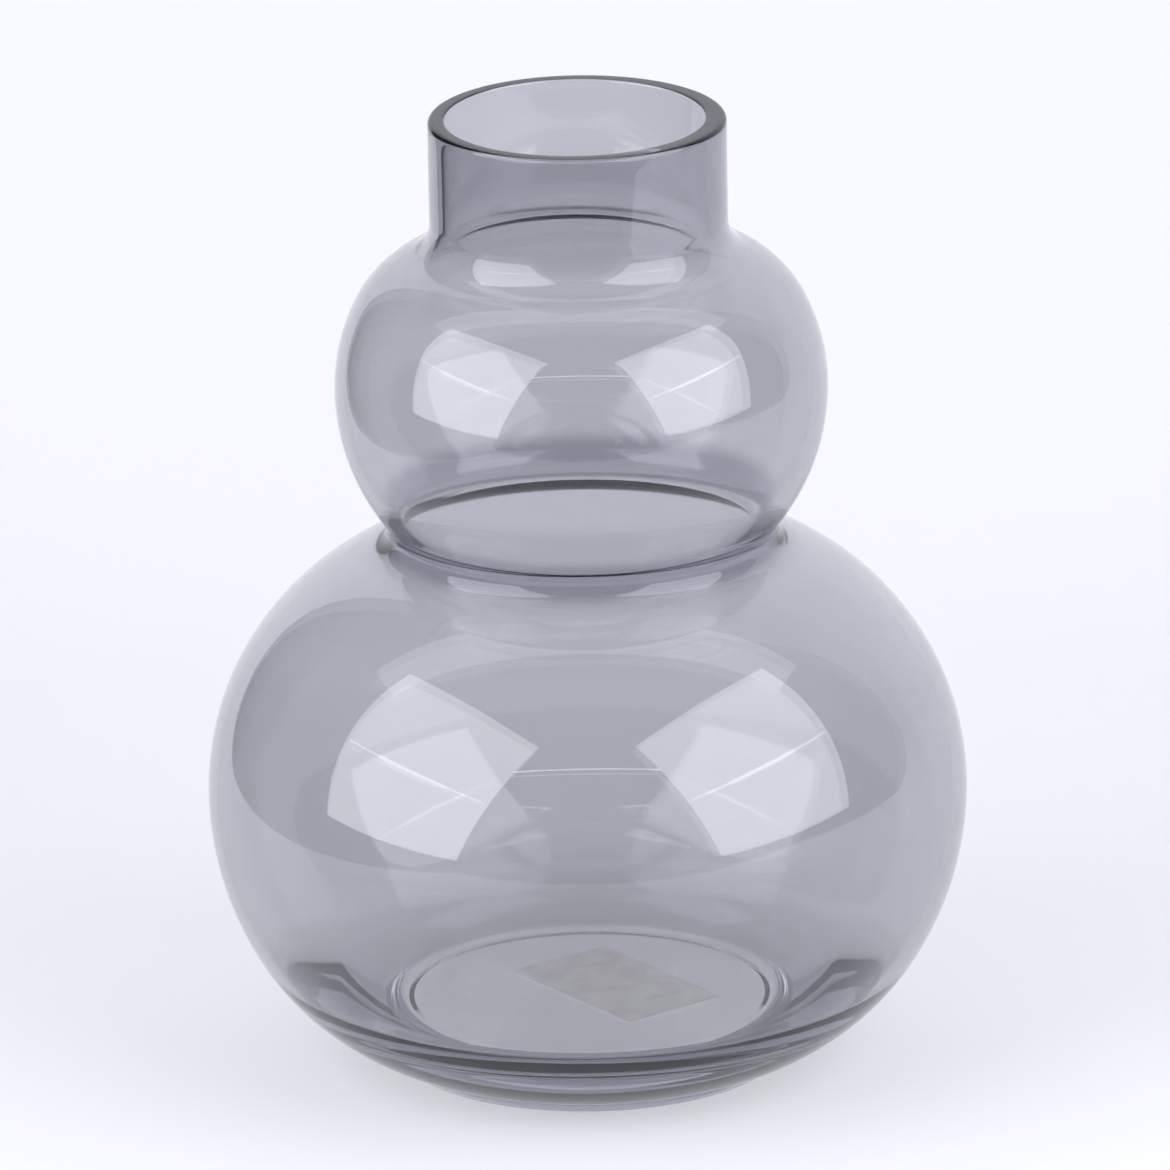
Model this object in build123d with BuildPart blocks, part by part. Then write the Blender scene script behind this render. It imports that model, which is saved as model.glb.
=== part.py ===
from build123d import *
import math
import os

# Double gourd vase, mould-blown in one piece of glass with a thick clear base: a wide lower globe, a
# smaller bulb and a straight cut neck, with the blank paper price label that is stuck under its base.
# Millimetres. +Z is up. The origin is the centre of the foot, on the surface that the vase stands on.

# Outside of the glass, from the foot up. Each swelling is drawn with section arcs that meet at its
# widest point, and its radius there is measured from the axis. The arcs touch one another, so the
# heights of the waist, the bulb and the rim follow from these sizes: the vase is 250 mm high.
foot_radius = 50.0
foot_bevel_width = 1.2
foot_bevel_height = 2.0
globe_radius = 97.3
globe_height = 71.2
globe_flank_curve = 80.0
globe_flank_angle = 31.3
globe_shoulder_curve = 70.3
waist_radius = 49.9
waist_fillet = 5.0
bulb_radius = 62.9
bulb_belly_curve = 55.9
bulb_crown_curve = 48.2
bulb_crown_angle = 27.4
bulb_shoulder_curve = 28.1
neck_fillet = 10.0
neck_radius = 38.0
neck_length = 27.2

# Shallow ground recess under the base, inside the ring that touches the table
foot_ring_width = 3.2
punt_height = 0.8
punt_slope_width = 1.3
punt_fillet = 0.5

# Thickness of the wall: blown thin where the swellings are widest, thick at the neck and in the heel
neck_wall = 4.75
shoulder_wall = 4.3
bulb_wall = 3.4
waist_wall = 4.4
globe_wall = 3.2

# Inside of the base, where the glass settles thick: a flat floor with a round heel up to the flank
base_thickness = 19.8
heel_round = 21.0

# Cut rim, ground flat with its edges softened, and the small drift of a hand-blown cavity
rim_outer_round = 1.2
rim_inner_round = 0.6
cavity_drift = 0.6
mouth_overrun = 2.0

# Paper label, stuck flat under the recess. It lies off centre in this direction, as far as its
# nearest corner may go.
label_length = 50.0
label_width = 30.0
label_thickness = 0.15
label_corner = 1.0
label_turn = -53.0
label_direction = 41.5
label_edge_gap = 10.1


def polar(centre, radius, degrees):
    """Point on a circle of the section, where centre is (distance from the axis, height)."""
    angle = math.radians(degrees)
    return centre[0] + radius * math.cos(angle), centre[1] + radius * math.sin(angle)


def between(start, end, distance):
    """Point at this distance from start, on the straight line to end."""
    share = distance / math.dist(start, end)
    return start[0] + share * (end[0] - start[0]), start[1] + share * (end[1] - start[1])


def rise_between(circle_distance, circle_curve, hollow_distance, hollow_curve):
    """Height between the centres of a swelling's circle and of a hollow's circle that touches it."""
    reach = circle_curve + hollow_curve
    return math.sqrt(reach**2 - (hollow_distance - circle_distance) ** 2)


def hollow_between(lower, lower_curve, upper, upper_curve, fillet_radius):
    """Centre of the round hollow that rests against a lower and an upper circle from outside."""
    low, high = lower_curve + fillet_radius, upper_curve + fillet_radius
    span = math.dist(lower, upper)
    along = (low**2 - high**2 + span**2) / (2 * span)
    out = math.sqrt(low**2 - along**2)
    on_line = between(lower, upper, along)
    step = between((0, 0), (upper[1] - lower[1], lower[0] - upper[0]), out)
    return on_line[0] + step[0], on_line[1] + step[1]


def neck_hollow(walls):
    """Circle below the neck's hollow, as centre and radius, and the centre of that hollow."""
    bulb_wall_here, shoulder_wall_here, neck_wall_here = walls
    crown_curve = bulb_crown_curve - shoulder_wall_here
    crown = (bulb_radius - bulb_wall_here - crown_curve, bulb_height)
    shoulder_curve = bulb_shoulder_curve - shoulder_wall_here
    shoulder = polar(crown, crown_curve - shoulder_curve, bulb_crown_angle)
    hollow_curve = neck_fillet + neck_wall_here
    hollow_distance = neck_radius + neck_fillet
    rise = rise_between(shoulder[0], shoulder_curve, hollow_distance, hollow_curve)
    return shoulder, shoulder_curve, (hollow_distance, shoulder[1] + rise)


def draw_upper_outline(walls, equator, top):
    """Draws one surface of the wall from the globe's widest point up to the neck's top.

    walls holds how far this surface lies inside the outer one at each place, so the outer surface
    has none and the cavity has the thickness of the glass.
    """
    globe_wall_here, waist_wall_here, bulb_wall_here, shoulder_wall_here, neck_wall_here = walls
    globe_curve = globe_shoulder_curve - waist_wall_here
    globe = (globe_radius - globe_wall_here - globe_curve, globe_height)
    belly_curve = bulb_belly_curve - waist_wall_here
    belly = (bulb_radius - bulb_wall_here - belly_curve, bulb_height)
    waist_round = waist_fillet + waist_wall_here
    waist = hollow_between(globe, globe_curve, belly, belly_curve, waist_round)
    waist_low = between(globe, waist, globe_curve)
    waist_high = between(belly, waist, belly_curve)

    crown_curve = bulb_crown_curve - shoulder_wall_here
    crown = (bulb_radius - bulb_wall_here - crown_curve, bulb_height)
    bulb_equator = (bulb_radius - bulb_wall_here, bulb_height)
    crown_end = polar(crown, crown_curve, bulb_crown_angle)
    shoulder, shoulder_curve, junction = neck_hollow(
        (bulb_wall_here, shoulder_wall_here, neck_wall_here)
    )
    junction_low = between(shoulder, junction, shoulder_curve)
    neck = neck_radius - neck_wall_here

    RadiusArc(equator, waist_low, -globe_curve)
    RadiusArc(waist_low, waist_high, waist_round)
    RadiusArc(waist_high, bulb_equator, -belly_curve)
    RadiusArc(bulb_equator, crown_end, -crown_curve)
    RadiusArc(crown_end, junction_low, -shoulder_curve)
    RadiusArc(junction_low, (neck, junction[1]), neck_fillet + neck_wall_here)
    Line((neck, junction[1]), (neck, top))


# The one blown piece of glass
waist_distance = waist_radius + waist_fillet
globe_to_waist = rise_between(
    globe_radius - globe_shoulder_curve, globe_shoulder_curve, waist_distance, waist_fillet
)
waist_to_bulb = rise_between(
    bulb_radius - bulb_belly_curve, bulb_belly_curve, waist_distance, waist_fillet
)
bulb_height = globe_height + globe_to_waist + waist_to_bulb
outer_neck_hollow = neck_hollow((0, 0, 0))[-1]
overall_height = outer_neck_hollow[1] + neck_length

outer_equator = (globe_radius, globe_height)
flank = (globe_radius - globe_flank_curve, globe_height)
flank_end = polar(flank, globe_flank_curve, -globe_flank_angle)
flank_heading = polar((0, 0), 1, -globe_flank_angle - 90)
foot_bevel_end = (foot_radius + foot_bevel_width, foot_bevel_height)
punt_edge = foot_radius - foot_ring_width - punt_slope_width

bore_radius = neck_radius - neck_wall
cavity_equator = (globe_radius - globe_wall, globe_height)
cavity_flank_curve = globe_flank_curve - globe_wall
heel_height = base_thickness + heel_round
heel_reach = math.sqrt(
    (cavity_flank_curve - heel_round) ** 2 - (globe_height - heel_height) ** 2
)
heel = (flank[0] + heel_reach, heel_height)
heel_bottom = (heel[0], base_thickness)
heel_top = between(flank, heel, cavity_flank_curve)
mouth_top = overall_height + mouth_overrun
cavity_plane = Plane(origin=(-cavity_drift, 0, 0), x_dir=(1, 0, 0), z_dir=(0, -1, 0))

with BuildPart() as glass_vase:
    with BuildSketch(Plane.XZ) as outer_section:
        with BuildLine():
            Line((0, overall_height), (0, punt_height))
            Line((0, punt_height), (punt_edge, punt_height))
            Line((punt_edge, punt_height), (foot_radius - foot_ring_width, 0))
            Line((foot_radius - foot_ring_width, 0), (foot_radius, 0))
            Line((foot_radius, 0), foot_bevel_end)
            TangentArc(flank_end, foot_bevel_end, tangent=flank_heading)
            RadiusArc(flank_end, outer_equator, -globe_flank_curve)
            draw_upper_outline((0, 0, 0, 0, 0), outer_equator, overall_height)
            Line((neck_radius, overall_height), (0, overall_height))
        make_face()
        punt_corners = outer_section.vertices().filter_by_position(
            Axis.X, punt_edge, foot_radius - foot_ring_width
        )
        fillet(punt_corners.group_by(Axis.Y)[:2], radius=punt_fillet)
    revolve(axis=Axis.Z)

    with BuildSketch(cavity_plane) as cavity_section:
        with BuildLine():
            Line((0, mouth_top), (0, base_thickness))
            Line((0, base_thickness), heel_bottom)
            RadiusArc(heel_bottom, heel_top, -heel_round)
            RadiusArc(heel_top, cavity_equator, -cavity_flank_curve)
            draw_upper_outline(
                (globe_wall, waist_wall, bulb_wall, shoulder_wall, neck_wall),
                cavity_equator, mouth_top,
            )
            Line((bore_radius, mouth_top), (0, mouth_top))
        make_face()
    revolve(axis=Axis(cavity_plane.origin, (0, 0, 1)), mode=Mode.SUBTRACT)

    rim_edges = glass_vase.edges().group_by(Axis.Z)[-1].sort_by(SortBy.RADIUS)
    fillet(rim_edges[-1], radius=rim_outer_round)
    rim_inner_edge = glass_vase.edges().group_by(Axis.Z)[-1].sort_by(SortBy.RADIUS)[0]
    fillet(rim_inner_edge, radius=rim_inner_round)

glass_vase.part.label = "glass_vase"

# The paper label, face to face with the glass above it
half_diagonal = math.hypot(label_length, label_width) / 2
corner_turn = math.degrees(math.atan2(label_width, label_length))
corner_turns = [corner_turn, -corner_turn, 180 + corner_turn, 180 - corner_turn]
nearest_corner = max(
    polar((0, 0), half_diagonal, label_turn + turn - label_direction)[0] for turn in corner_turns
)
recess_reach = punt_edge - label_edge_gap
label_offset = math.sqrt(recess_reach**2 - half_diagonal**2 + nearest_corner**2) - nearest_corner
label_centre = polar((0, 0), label_offset, label_direction)
label_plane = Plane(
    origin=(label_centre[0], label_centre[1], punt_height),
    x_dir=(math.cos(math.radians(label_turn)), math.sin(math.radians(label_turn)), 0),
    z_dir=(0, 0, 1),
)

with BuildPart() as base_label:
    with BuildSketch(label_plane):
        RectangleRounded(label_length, label_width, label_corner)
    extrude(amount=-label_thickness)

base_label.part.label = "base_label"

os.makedirs("parts", exist_ok=True)
export_step(glass_vase.part, "parts/glass_vase.step")
export_step(base_label.part, "parts/base_label.step")
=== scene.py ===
import math

import bmesh
import bpy
from mathutils import Matrix, Vector


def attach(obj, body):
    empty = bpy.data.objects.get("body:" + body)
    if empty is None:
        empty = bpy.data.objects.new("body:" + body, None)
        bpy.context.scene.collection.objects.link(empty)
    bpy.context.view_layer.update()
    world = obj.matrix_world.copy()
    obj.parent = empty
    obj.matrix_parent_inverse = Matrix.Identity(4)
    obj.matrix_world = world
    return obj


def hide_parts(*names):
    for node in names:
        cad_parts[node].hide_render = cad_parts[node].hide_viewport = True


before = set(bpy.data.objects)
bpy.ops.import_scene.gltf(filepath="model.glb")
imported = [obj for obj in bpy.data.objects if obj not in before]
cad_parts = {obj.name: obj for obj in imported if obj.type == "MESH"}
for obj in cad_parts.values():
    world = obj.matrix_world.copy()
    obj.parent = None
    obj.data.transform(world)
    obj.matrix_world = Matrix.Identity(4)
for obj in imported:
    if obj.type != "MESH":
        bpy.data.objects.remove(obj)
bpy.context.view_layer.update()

# The camera stands about 4.5 m in front of the vase and looks down on it by 18 degrees, turned a
# little about its own axis. Its long lens keeps the upright sides nearly parallel.
camera_place = (0.00013, -4.5, 1.6098)
camera_pitch = -18.26
camera_roll = -0.924
camera_lens = 570.2
camera_sensor_width = 36
camera_reach = 100

camera_data = bpy.data.cameras.new("camera")
camera_data.lens = camera_lens
camera_data.sensor_width = camera_sensor_width
camera_data.clip_end = camera_reach
camera = bpy.data.objects.new("camera", camera_data)
camera.location = camera_place
camera.rotation_mode = "XYZ"
camera.rotation_euler = (math.radians(90 + camera_pitch), 0, 0)
camera.rotation_euler.rotate_axis("Z", math.radians(camera_roll))
bpy.context.scene.collection.objects.link(camera)
bpy.context.scene.camera = camera


# The vase is one piece of clear soda-lime glass, blown into a mould, cut off at the neck and
# lacquered on the outside. Its outer surface follows the mould and its cavity is only blown, so the
# wall is thin where the glass swells, the base is thick, and the cavity lies a little off the axis.

# The outside in millimetres, from the foot up. The arcs touch one another, so the heights of the
# waist, the bulb and the rim follow from these sizes.
foot_radius = 50.0
foot_bevel_width = 1.2
foot_bevel_height = 2.0
foot_ring_width = 3.2
punt_height = 0.8
punt_slope_width = 1.3
punt_fillet = 0.5
globe_radius = 97.3
globe_height = 71.2
globe_flank_curve = 80.0
globe_flank_angle = 31.3
globe_shoulder_curve = 70.3
waist_radius = 49.9
waist_fillet = 5.0
bulb_radius = 62.9
bulb_belly_curve = 55.9
bulb_crown_curve = 48.2
bulb_crown_angle = 27.4
bulb_shoulder_curve = 28.1
neck_fillet = 10.0
neck_radius = 38.0
neck_length = 27.2

# The wall's thickness, the inside of the base, the rim and the drift of the cavity
neck_wall = 4.75
shoulder_wall = 4.3
bulb_wall = 3.4
waist_wall = 4.4
globe_wall = 3.2
base_thickness = 19.8
heel_round = 21.0
rim_outer_round = 1.2
rim_inner_round = 0.6
cavity_drift = 0.6

# The fineness of the mesh: steps round the axis, degrees of arc in each step of the section, and
# steps along its straight lines
turn_steps = 216
turn_copies = 8
swell_step = 1.8
waist_step = 5
shoulder_step = 2
neck_step = 3
punt_step = 10
rim_outer_step = 8
rim_inner_step = 12
flat_steps = 12
upright_steps = 8
weld_distance = 0.0005
metres_per_mm = 0.001

# How strong the tint is at each height, as a share of its strength in the groove of the waist, and
# the colour that it has there. It stops above the foot. The lacquer gives the tint over the bulbs;
# the lighter band below the waist is painted light, the darkest band in the groove is partly
# thicker lacquer and partly painted shade, and the tint grows darker towards the rim.
lacquer_and_shading_heights = [0.8, 2.3, 100.0, 122.0, 134.5, 139.5, 145.0, 150.0, 216.0, 224.0]
lacquer_and_shading_covers = [0.0, 0.62, 0.62, 0.54, 0.54, 1.0, 1.0, 0.60, 0.60, 0.80]
lacquer_and_shading_darkest = "767382"

glass_ior = 1.51
glass_body_colour = "455081"
glass_absorption = 6.5


def linear(hex_colour):
    """An sRGB colour such as "9b95a7" as linear red, green, blue and alpha."""
    shares = [int(hex_colour[i:i + 2], 16) / 255 for i in (0, 2, 4)]
    return [s / 12.92 if s <= 0.04045 else ((s + 0.055) / 1.055) ** 2.4 for s in shares] + [1]


def add_node(material, kind, settings=None, links=None):
    """Adds a node, sets its properties or input values, and links its inputs to other sockets."""
    node = material.node_tree.nodes.new(kind)
    for name, value in (settings or {}).items():
        if name in node.inputs:
            node.inputs[name].default_value = value
        else:
            setattr(node, name, value)
    for name, socket in (links or {}).items():
        material.node_tree.links.new(socket, node.inputs[name])
    return node


def new_material(name):
    material = bpy.data.materials.new(name)
    material.use_nodes = True
    material.node_tree.nodes.clear()
    return material


def polar(centre, radius, degrees):
    """Point on a circle of the section, where centre is (distance from the axis, height)."""
    angle = math.radians(degrees)
    return centre[0] + radius * math.cos(angle), centre[1] + radius * math.sin(angle)


def between(start, end, distance):
    """Point at this distance from start, on the straight line to end."""
    share = distance / math.dist(start, end)
    return start[0] + share * (end[0] - start[0]), start[1] + share * (end[1] - start[1])


def rise_between(circle_distance, circle_curve, hollow_distance, hollow_curve):
    """Height between the centres of a swelling's circle and of a hollow's that touches it."""
    reach = circle_curve + hollow_curve
    return math.sqrt(reach ** 2 - (hollow_distance - circle_distance) ** 2)


def hollow_between(lower, lower_curve, upper, upper_curve, fillet_radius):
    """Centre of the round hollow that rests against a lower and an upper circle from outside."""
    low, high = lower_curve + fillet_radius, upper_curve + fillet_radius
    span = math.dist(lower, upper)
    along = (low ** 2 - high ** 2 + span ** 2) / (2 * span)
    out = math.sqrt(low ** 2 - along ** 2)
    on_line = between(lower, upper, along)
    step = between((0, 0), (upper[1] - lower[1], lower[0] - upper[0]), out)
    return on_line[0] + step[0], on_line[1] + step[1]


waist_distance = waist_radius + waist_fillet
bulb_height = globe_height + rise_between(
    globe_radius - globe_shoulder_curve, globe_shoulder_curve, waist_distance, waist_fillet
) + rise_between(bulb_radius - bulb_belly_curve, bulb_belly_curve, waist_distance, waist_fillet)


def start_chain(mesh, place):
    """First vertex of a section, at this distance from the axis and height."""
    return bmesh.ops.create_vert(mesh, co=(place[0], 0, place[1]))["vert"][0]


def line_to(mesh, tip, place, steps=1):
    """Draws a straight edge of the section from its tip to this place."""
    start = tip.co.copy()
    for step in range(1, steps + 1):
        tip = bmesh.ops.extrude_vert_indiv(mesh, verts=[tip])["verts"][0]
        tip.co.x = start.x + (place[0] - start.x) * step / steps
        tip.co.z = start.z + (place[1] - start.z) * step / steps
    return tip


def arc_to(mesh, tip, centre, place, step_angle=swell_step):
    """Turns the section's tip about a centre, the short way round, until it reaches this place."""
    start = math.atan2(tip.co.z - centre[1], tip.co.x - centre[0])
    end = math.atan2(place[1] - centre[1], place[0] - centre[0])
    angle = (end - start + math.pi) % (2 * math.pi) - math.pi
    steps = max(2, math.ceil(abs(math.degrees(angle)) / step_angle))
    turned = bmesh.ops.spin(
        mesh, geom=[tip], cent=(centre[0], 0, centre[1]), axis=(0, -1, 0), angle=angle, steps=steps
    )
    return [part for part in turned["geom_last"] if isinstance(part, bmesh.types.BMVert)][0]


def fillet_corner(before, corner, after, radius):
    """Centre and the two ends of the arc that rounds a corner between two straight edges."""
    towards_before = between((0, 0), (before[0] - corner[0], before[1] - corner[1]), 1)
    towards_after = between((0, 0), (after[0] - corner[0], after[1] - corner[1]), 1)
    turn = math.acos(
        towards_before[0] * towards_after[0] + towards_before[1] * towards_after[1]
    )
    setback = radius / math.tan(turn / 2)
    middle = (towards_before[0] + towards_after[0], towards_before[1] + towards_after[1])
    inward = (corner[0] + middle[0], corner[1] + middle[1])
    centre = between(corner, inward, radius / math.sin(turn / 2))
    return centre, between(corner, before, setback), between(corner, after, setback)


def tangent_centre(start, heading_to, end):
    """Centre of the arc that leaves start square to the line towards heading_to and meets end."""
    unit = between((0, 0), (heading_to[0] - start[0], heading_to[1] - start[1]), 1)
    across = (start[0] - end[0], start[1] - end[1])
    radius = -(across[0] ** 2 + across[1] ** 2) / (2 * (across[0] * unit[0] + across[1] * unit[1]))
    return start[0] + radius * unit[0], start[1] + radius * unit[1]


def upper_outline(mesh, tip, walls):
    """Draws one surface of the wall from the globe's widest point to the end of the neck's hollow.

    walls holds how far this surface lies inside the outer one at each place, so the outer surface
    has none and the cavity has the thickness of the glass.
    """
    globe_here, waist_here, bulb_here, shoulder_here, neck_here = walls
    globe_curve = globe_shoulder_curve - waist_here
    globe = (globe_radius - globe_here - globe_curve, globe_height)
    belly_curve = bulb_belly_curve - waist_here
    belly = (bulb_radius - bulb_here - belly_curve, bulb_height)
    waist = hollow_between(globe, globe_curve, belly, belly_curve, waist_fillet + waist_here)
    crown_curve = bulb_crown_curve - shoulder_here
    crown = (bulb_radius - bulb_here - crown_curve, bulb_height)
    shoulder_curve = bulb_shoulder_curve - shoulder_here
    shoulder = polar(crown, crown_curve - shoulder_curve, bulb_crown_angle)
    hollow_distance = neck_radius + neck_fillet
    rise = rise_between(shoulder[0], shoulder_curve, hollow_distance, neck_fillet + neck_here)
    hollow = (hollow_distance, shoulder[1] + rise)
    tip = arc_to(mesh, tip, globe, between(globe, waist, globe_curve))
    tip = arc_to(mesh, tip, waist, between(belly, waist, belly_curve), waist_step)
    tip = arc_to(mesh, tip, belly, (bulb_radius - bulb_here, bulb_height))
    tip = arc_to(mesh, tip, crown, polar(crown, crown_curve, bulb_crown_angle))
    tip = arc_to(mesh, tip, shoulder, between(shoulder, hollow, shoulder_curve), shoulder_step)
    return arc_to(mesh, tip, hollow, (neck_radius - neck_here, hollow[1]), neck_step)


def turned_surface(draw, axis_distance):
    """A section drawn by draw and turned about an upright axis at this distance from the foot's.

    One part of the turn is spun and then copied round, which is quicker than a whole spin.
    """
    mesh = bmesh.new()
    draw(mesh)
    bmesh.ops.spin(
        mesh, geom=mesh.verts[:] + mesh.edges[:], axis=(0, 0, 1), angle=2 * math.pi / turn_copies,
        steps=turn_steps // turn_copies,
    )
    bmesh.ops.spin(
        mesh, geom=mesh.verts[:] + mesh.edges[:] + mesh.faces[:], axis=(0, 0, 1),
        angle=2 * math.pi * (1 - 1 / turn_copies), steps=turn_copies - 1, use_duplicate=True,
    )
    bmesh.ops.remove_doubles(mesh, verts=mesh.verts, dist=weld_distance)
    bmesh.ops.translate(mesh, verts=mesh.verts, vec=(axis_distance, 0, 0))
    return mesh


def draw_outer(mesh):
    """Draws the outer section: the recess under the base, the foot's ring, and up to the rim."""
    globe_flank = (globe_radius - globe_flank_curve, globe_height)
    flank_end = polar(globe_flank, globe_flank_curve, -globe_flank_angle)
    ring_inner = foot_radius - foot_ring_width
    punt_edge = ring_inner - punt_slope_width
    top, corner, foot = (0, punt_height), (punt_edge, punt_height), (ring_inner, 0)
    upper = fillet_corner(top, corner, foot, punt_fillet)
    lower = fillet_corner(corner, foot, (foot_radius, 0), punt_fillet)
    tip = start_chain(mesh, top)
    tip = line_to(mesh, tip, upper[1], flat_steps)
    tip = arc_to(mesh, tip, upper[0], upper[2], punt_step)
    tip = line_to(mesh, tip, lower[1])
    tip = arc_to(mesh, tip, lower[0], lower[2], punt_step)
    tip = line_to(mesh, tip, (foot_radius, 0))
    foot_bevel_end = (foot_radius + foot_bevel_width, foot_bevel_height)
    tip = line_to(mesh, tip, foot_bevel_end)
    heel = tangent_centre(flank_end, globe_flank, foot_bevel_end)
    tip = arc_to(mesh, tip, heel, flank_end)
    tip = arc_to(mesh, tip, globe_flank, (globe_radius, globe_height))
    tip = upper_outline(mesh, tip, (0, 0, 0, 0, 0))
    centre = (neck_radius - rim_outer_round, tip.co.z + neck_length - rim_outer_round)
    tip = line_to(mesh, tip, (neck_radius, centre[1]), upright_steps)
    arc_to(mesh, tip, centre, (centre[0], centre[1] + rim_outer_round), rim_outer_step)


def lacquer_and_shading_cover(height):
    """How strong the tint is at a height, as a share of where it is strongest, with its painted
    light and shade.
    """
    if height <= lacquer_and_shading_heights[0]:
        return lacquer_and_shading_covers[0]
    for step, upper in enumerate(lacquer_and_shading_heights[1:]):
        if height < upper:
            share = (height - lacquer_and_shading_heights[step]) / (upper - lacquer_and_shading_heights[step])
            share = share * share * (3 - 2 * share)
            return lacquer_and_shading_covers[step] * (1 - share) + lacquer_and_shading_covers[step + 1] * share
    return lacquer_and_shading_covers[-1]


outer_surface = turned_surface(draw_outer, 0)
# Each vertex takes the tint's share for its height, with the painted light below the waist and the
# painted shade in its groove.
lacquer_and_shading = outer_surface.verts.layers.float.new("lacquer_and_shading")
for vert in outer_surface.verts:
    vert[lacquer_and_shading] = lacquer_and_shading_cover(vert.co.z)
rim_height = max(vert.co.z for vert in outer_surface.verts)


def draw_cavity(mesh):
    """Draws the inner section: the flat floor, the round heel, and up to the rim."""
    cavity_curve = globe_flank_curve - globe_wall
    flank = (globe_radius - globe_flank_curve, globe_height)
    heel_height = base_thickness + heel_round
    heel_reach = math.sqrt((cavity_curve - heel_round) ** 2 - (globe_height - heel_height) ** 2)
    heel = (flank[0] + heel_reach, heel_height)
    tip = start_chain(mesh, (0, base_thickness))
    tip = line_to(mesh, tip, (heel[0], base_thickness), flat_steps)
    tip = arc_to(mesh, tip, heel, between(flank, heel, cavity_curve))
    tip = arc_to(mesh, tip, flank, (globe_radius - globe_wall, globe_height))
    tip = upper_outline(mesh, tip, (globe_wall, waist_wall, bulb_wall, shoulder_wall, neck_wall))
    bore = neck_radius - neck_wall
    centre = (bore + rim_inner_round, rim_height - rim_inner_round)
    tip = line_to(mesh, tip, (bore, centre[1]), upright_steps)
    arc_to(mesh, tip, centre, (centre[0], rim_height), rim_inner_step)


# The cavity joins the outer surface at the flat top of the rim
cavity_surface = turned_surface(draw_cavity, -cavity_drift)
cavity_data = bpy.data.meshes.new("cavity")
cavity_surface.to_mesh(cavity_data)
outer_surface.from_mesh(cavity_data)
rim_edges = [edge for edge in outer_surface.edges if edge.is_boundary]
bmesh.ops.bridge_loops(outer_surface, edges=rim_edges)
bmesh.ops.scale(outer_surface, verts=outer_surface.verts, vec=[metres_per_mm] * 3)
bmesh.ops.recalc_face_normals(outer_surface, faces=outer_surface.faces)
for face in outer_surface.faces:
    face.smooth = True

vase_data = bpy.data.meshes.new("vase")
outer_surface.to_mesh(vase_data)
vase = bpy.data.objects.new("vase", vase_data)
bpy.context.scene.collection.objects.link(vase)

# Clear soda-lime glass, fire-polished in the mould, under a thin see-through smoke-violet lacquer
# that is sprayed on its outside only. It gives a sharp gloss and an even tint, however thick the
# wall is, and the thick base and the cut rim stay clear. Only a long way inside the glass shows the
# faint blue-grey of the glass itself.
smoked_glass = new_material("smoke-lacquered soda-lime glass")

# The Mix node's sockets for colours, by position: its share, its two colours and its result
mix_share, mix_clear, mix_strongest, mix_result = 0, 6, 7, 2
# The attribute sets the tint's strength by height, so it carries the painted light below the waist
# and the painted shade in its groove.
lacquer_and_shading_amount = add_node(smoked_glass, "ShaderNodeAttribute", {"attribute_name": "lacquer_and_shading"})
lacquer_and_shading_tint = add_node(smoked_glass, "ShaderNodeMix", {"data_type": "RGBA"}, {
    mix_share: lacquer_and_shading_amount.outputs["Fac"],
})
lacquer_and_shading_tint.inputs[mix_clear].default_value = linear("ffffff")
lacquer_and_shading_tint.inputs[mix_strongest].default_value = linear(lacquer_and_shading_darkest)
glass_surface = add_node(smoked_glass, "ShaderNodeBsdfPrincipled", {
    "Roughness": 0.0, "IOR": glass_ior, "Transmission Weight": 1.0,
}, {"Base Color": lacquer_and_shading_tint.outputs[mix_result]})
glass_body = add_node(smoked_glass, "ShaderNodeVolumeAbsorption", {
    "Color": linear(glass_body_colour), "Density": glass_absorption,
})
add_node(smoked_glass, "ShaderNodeOutputMaterial", None, {
    "Surface": glass_surface.outputs["BSDF"], "Volume": glass_body.outputs["Volume"],
})
vase_data.materials.append(smoked_glass)
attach(vase, "root")
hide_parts("glass_vase")


# The price label is a rectangle of uncoated paper, stuck under the recess of the base by its glue
# side, which is the side that shows through the glass. Sizes are in millimetres.
label_length = 50.0
label_width = 30.0
label_corner = 1.0
label_corner_steps = 5
label_thickness = 0.12
label_gap = 0.03
label_turn = -53.0
label_centre = (7.0, 6.2)
blotch_width = 9.0
blotch_span = (0.4, 0.6)
blotch_colours = ("dddad2", "f8f6f0")
label_roughness = 0.85
gathered_light = 0.26
gathered_colour = "fffdf6"

label_mesh = bmesh.new()
bmesh.ops.create_grid(label_mesh, x_segments=1, y_segments=1, size=1)
bmesh.ops.scale(label_mesh, verts=label_mesh.verts, vec=(label_length / 2, label_width / 2, 1))
bmesh.ops.bevel(
    label_mesh, geom=label_mesh.verts[:], offset=label_corner, offset_type="OFFSET",
    segments=label_corner_steps, profile=0.5, affect="VERTICES", material=-1,
)
sheet = bmesh.ops.extrude_face_region(label_mesh, geom=label_mesh.faces[:])
bmesh.ops.translate(
    label_mesh, vec=(0, 0, -label_thickness),
    verts=[part for part in sheet["geom"] if isinstance(part, bmesh.types.BMVert)],
)
bmesh.ops.rotate(
    label_mesh, verts=label_mesh.verts, cent=(0, 0, 0),
    matrix=Matrix.Rotation(math.radians(label_turn), 3, "Z"),
)
bmesh.ops.translate(
    label_mesh, verts=label_mesh.verts, vec=(*label_centre, punt_height - label_gap)
)
bmesh.ops.scale(label_mesh, verts=label_mesh.verts, vec=[metres_per_mm] * 3)
bmesh.ops.recalc_face_normals(label_mesh, faces=label_mesh.faces)
label_data = bpy.data.meshes.new("label")
label_mesh.to_mesh(label_data)
label = bpy.data.objects.new("label", label_data)
bpy.context.scene.collection.objects.link(label)

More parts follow.
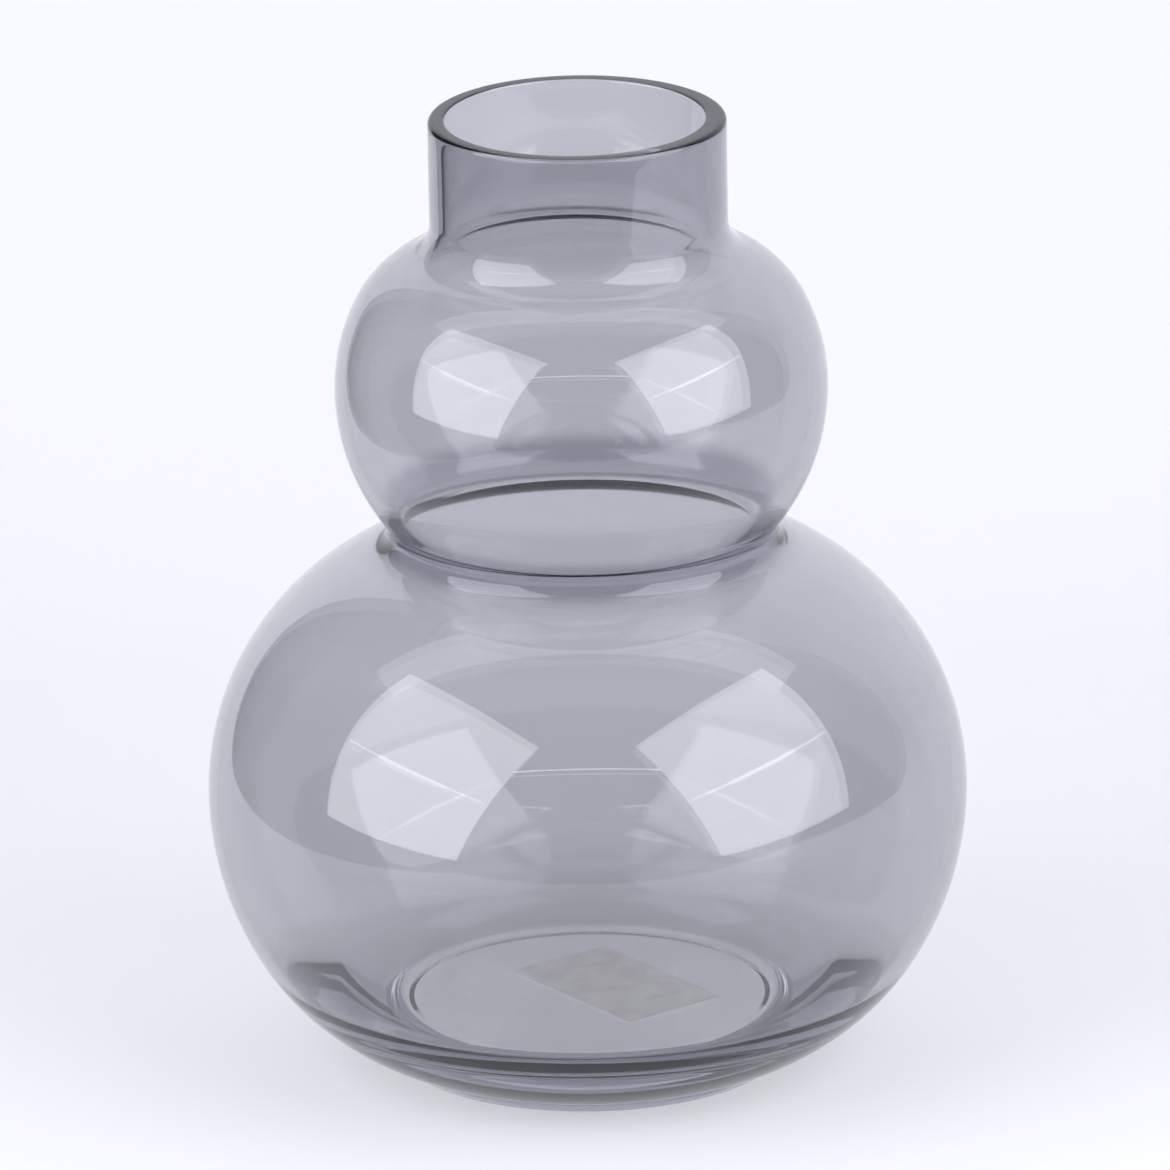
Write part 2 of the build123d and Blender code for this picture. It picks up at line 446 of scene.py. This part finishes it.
# Matt off-white paper, a little blotched where the glue has soaked in. The thick base gathers light
# onto it, which is given as a faint glow of the paper.
label_paper = new_material("uncoated label paper")
label_place = add_node(label_paper, "ShaderNodeTexCoord")
blotches = add_node(label_paper, "ShaderNodeTexNoise", {
    "Scale": 1 / (blotch_width * metres_per_mm), "Detail": 3.0, "Roughness": 0.6,
}, {"Vector": label_place.outputs["Object"]})
blotch_shades = add_node(label_paper, "ShaderNodeValToRGB", None, {"Fac": blotches.outputs["Fac"]})
shades = blotch_shades.color_ramp.elements
for shade, position, colour in zip(shades, blotch_span, blotch_colours):
    shade.position = position
    shade.color = linear(colour)
paper_surface = add_node(label_paper, "ShaderNodeBsdfPrincipled", {
    "Roughness": label_roughness,
    "Emission Color": linear(gathered_colour),
    "Emission Strength": gathered_light,
}, {"Base Color": blotch_shades.outputs["Color"]})
add_node(label_paper, "ShaderNodeOutputMaterial", None, {"Surface": paper_surface.outputs["BSDF"]})
label_data.materials.append(label_paper)
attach(label, "root")
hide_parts("base_label")


# The table is one sheet of pale seamless paper, hung from above, that sweeps down behind the vase,
# lies flat under it and slopes away in front of it. Its left edge is near the vase, so that the
# darker room beside it shades that side of the glass. Sizes are in metres from here on.
sweep_left = 0.44
sweep_right = 1.3
sweep_points = [(-1.6, -0.52), (-0.6, 0.0), (0.3, 0.0)]
sweep_curve = 0.3
sweep_curve_steps = 24
sweep_top = 2.4
sweep_gap = 0.00005
paper_colour = "f1f2f7"
paper_white_share = 0.5

sweep_mesh = bmesh.new()
tip = bmesh.ops.create_vert(sweep_mesh, co=(-sweep_left, *sweep_points[0]))["vert"][0]
for place in sweep_points[1:]:
    tip = bmesh.ops.extrude_vert_indiv(sweep_mesh, verts=[tip])["verts"][0]
    tip.co = (-sweep_left, *place)
turned = bmesh.ops.spin(
    sweep_mesh, geom=[tip], cent=(-sweep_left, sweep_points[-1][0], sweep_curve), axis=(1, 0, 0),
    angle=math.pi / 2, steps=sweep_curve_steps,
)
tip = [part for part in turned["geom_last"] if isinstance(part, bmesh.types.BMVert)][0]
tip = bmesh.ops.extrude_vert_indiv(sweep_mesh, verts=[tip])["verts"][0]
tip.co.z = sweep_top
side = bmesh.ops.extrude_edge_only(sweep_mesh, edges=sweep_mesh.edges[:])
bmesh.ops.translate(
    sweep_mesh, vec=(sweep_left + sweep_right, 0, 0),
    verts=[part for part in side["geom"] if isinstance(part, bmesh.types.BMVert)],
)
bmesh.ops.translate(sweep_mesh, verts=sweep_mesh.verts, vec=(0, 0, -sweep_gap))
bmesh.ops.recalc_face_normals(sweep_mesh, faces=sweep_mesh.faces)
bmesh.ops.reverse_faces(sweep_mesh, faces=sweep_mesh.faces)
for face in sweep_mesh.faces:
    face.smooth = True
sweep_data = bpy.data.meshes.new("paper_sweep")
sweep_mesh.to_mesh(sweep_data)
sweep = bpy.data.objects.new("paper_sweep", sweep_data)
bpy.context.scene.collection.objects.link(sweep)

# Matt, nearly white paper. Half of what is seen of it, straight on or in the glass, is its plain
# colour, so that it looks evenly lit, and the other half takes the shadow of the vase.
seamless_paper = new_material("seamless background paper")
paper_diffuse = add_node(seamless_paper, "ShaderNodeBsdfDiffuse", {"Color": linear(paper_colour)})
paper_white = add_node(seamless_paper, "ShaderNodeEmission", {
    "Color": linear(paper_colour), "Strength": 1.0,
})
seen = add_node(seamless_paper, "ShaderNodeLightPath")
seen_or_mirrored = add_node(seamless_paper, "ShaderNodeMath", {"operation": "MAXIMUM"}, {
    0: seen.outputs["Is Camera Ray"], 1: seen.outputs["Is Glossy Ray"],
})
seen_at_all = add_node(seamless_paper, "ShaderNodeMath", {"operation": "MAXIMUM"}, {
    0: seen_or_mirrored.outputs["Value"], 1: seen.outputs["Is Transmission Ray"],
})
white_share = add_node(seamless_paper, "ShaderNodeMath", {"operation": "MULTIPLY"}, {
    0: seen_at_all.outputs["Value"],
})
white_share.inputs[1].default_value = paper_white_share
paper_front = add_node(seamless_paper, "ShaderNodeMixShader", None, {
    0: white_share.outputs["Value"], 1: paper_diffuse.outputs["BSDF"],
    2: paper_white.outputs["Emission"],
})

# The back of the upright part is left see-through, so that the vase shows from behind too
paper_sides = add_node(seamless_paper, "ShaderNodeNewGeometry")
seen_from_behind = add_node(seamless_paper, "ShaderNodeMath", {"operation": "MULTIPLY"}, {
    0: paper_sides.outputs["Backfacing"], 1: seen.outputs["Is Camera Ray"],
})
paper_back = add_node(seamless_paper, "ShaderNodeBsdfTransparent")
paper_sheet = add_node(seamless_paper, "ShaderNodeMixShader", None, {
    0: seen_from_behind.outputs["Value"], 1: paper_front.outputs["Shader"],
    2: paper_back.outputs["BSDF"],
})
add_node(seamless_paper, "ShaderNodeOutputMaterial", None, {
    "Surface": paper_sheet.outputs["Shader"],
})
sweep_data.materials.append(seamless_paper)


# Two square softboxes lean over the vase from the left and the right, in front of it. The tube in
# each one shines through its cloth as a brighter streak, and a thin strip lamp hangs between them.
# A long scrim overhead lights the vase and the table evenly.
light_hue = (0.955, 0.985, 1.02)
softbox_width = 0.93
softbox_height = 1.01
softbox_centre = (-0.736, -0.457, 0.497)
softbox_across = (-0.487, 0.870, 0.072)
softbox_upward = (0.476, 0.267, 0.838)
softbox_level = 3.2
tube_panels = [(0.86, 0.012, 2.5), (0.4, 0.03, 1.6)]
tube_gap = 0.01
strip_width = 0.75
strip_height = 0.01
strip_centre = (0.0, -0.804, 0.695)
strip_upward = (0, 0.6, 0.8)
strip_level = 5.0
scrim_width = 4.0
scrim_depth = 0.6
scrim_centre = (0.0, 0.29, 2.0)
scrim_level = 1.2


def add_panel(name, centre, across, upward, width, height, level):
    """Adds a flat lamp whose width lies along across and whose height lies nearly along upward.

    A level of 1 is as bright as plain white. The result points away from what the lamp lights.
    """
    light = bpy.data.lights.new(name, "AREA")
    light.shape = "RECTANGLE"
    light.size = width
    light.size_y = height
    light.color = light_hue
    light.energy = level * math.pi * width * height
    side = Vector(across).normalized()
    back = Vector(upward).cross(side).normalized()
    panel = bpy.data.objects.new(name, light)
    panel.matrix_world = Matrix((side, back.cross(side), back)).transposed().to_4x4()
    panel.location = centre
    bpy.context.scene.collection.objects.link(panel)
    return back


for side in (1, -1):
    centre = Vector((side * softbox_centre[0], *softbox_centre[1:]))
    across = (softbox_across[0], side * softbox_across[1], side * softbox_across[2])
    upward = (side * softbox_upward[0], *softbox_upward[1:])
    back = add_panel(
        "softbox", centre, across, upward, softbox_width, softbox_height, softbox_level
    )
    for step, (width, height, level) in enumerate(tube_panels, 1):
        add_panel("tube", centre - step * tube_gap * back, across, upward, width, height, level)
add_panel(
    "strip_lamp", strip_centre, (-1, 0, 0), strip_upward, strip_width, strip_height, strip_level
)
add_panel("scrim", scrim_centre, (1, 0, 0), (0, -1, 0), scrim_width, scrim_depth, scrim_level)

# The room round the set is a plain middle grey, which shows in the edges of the glass
room_colour = "68696e"
room = bpy.data.worlds.new("room")
bpy.context.scene.world = room
room.use_nodes = True
room_background = room.node_tree.nodes["Background"]
room_background.inputs["Color"].default_value = linear(room_colour)
room_background.inputs["Strength"].default_value = 1.0

bpy.context.scene.view_settings.view_transform = "Standard"
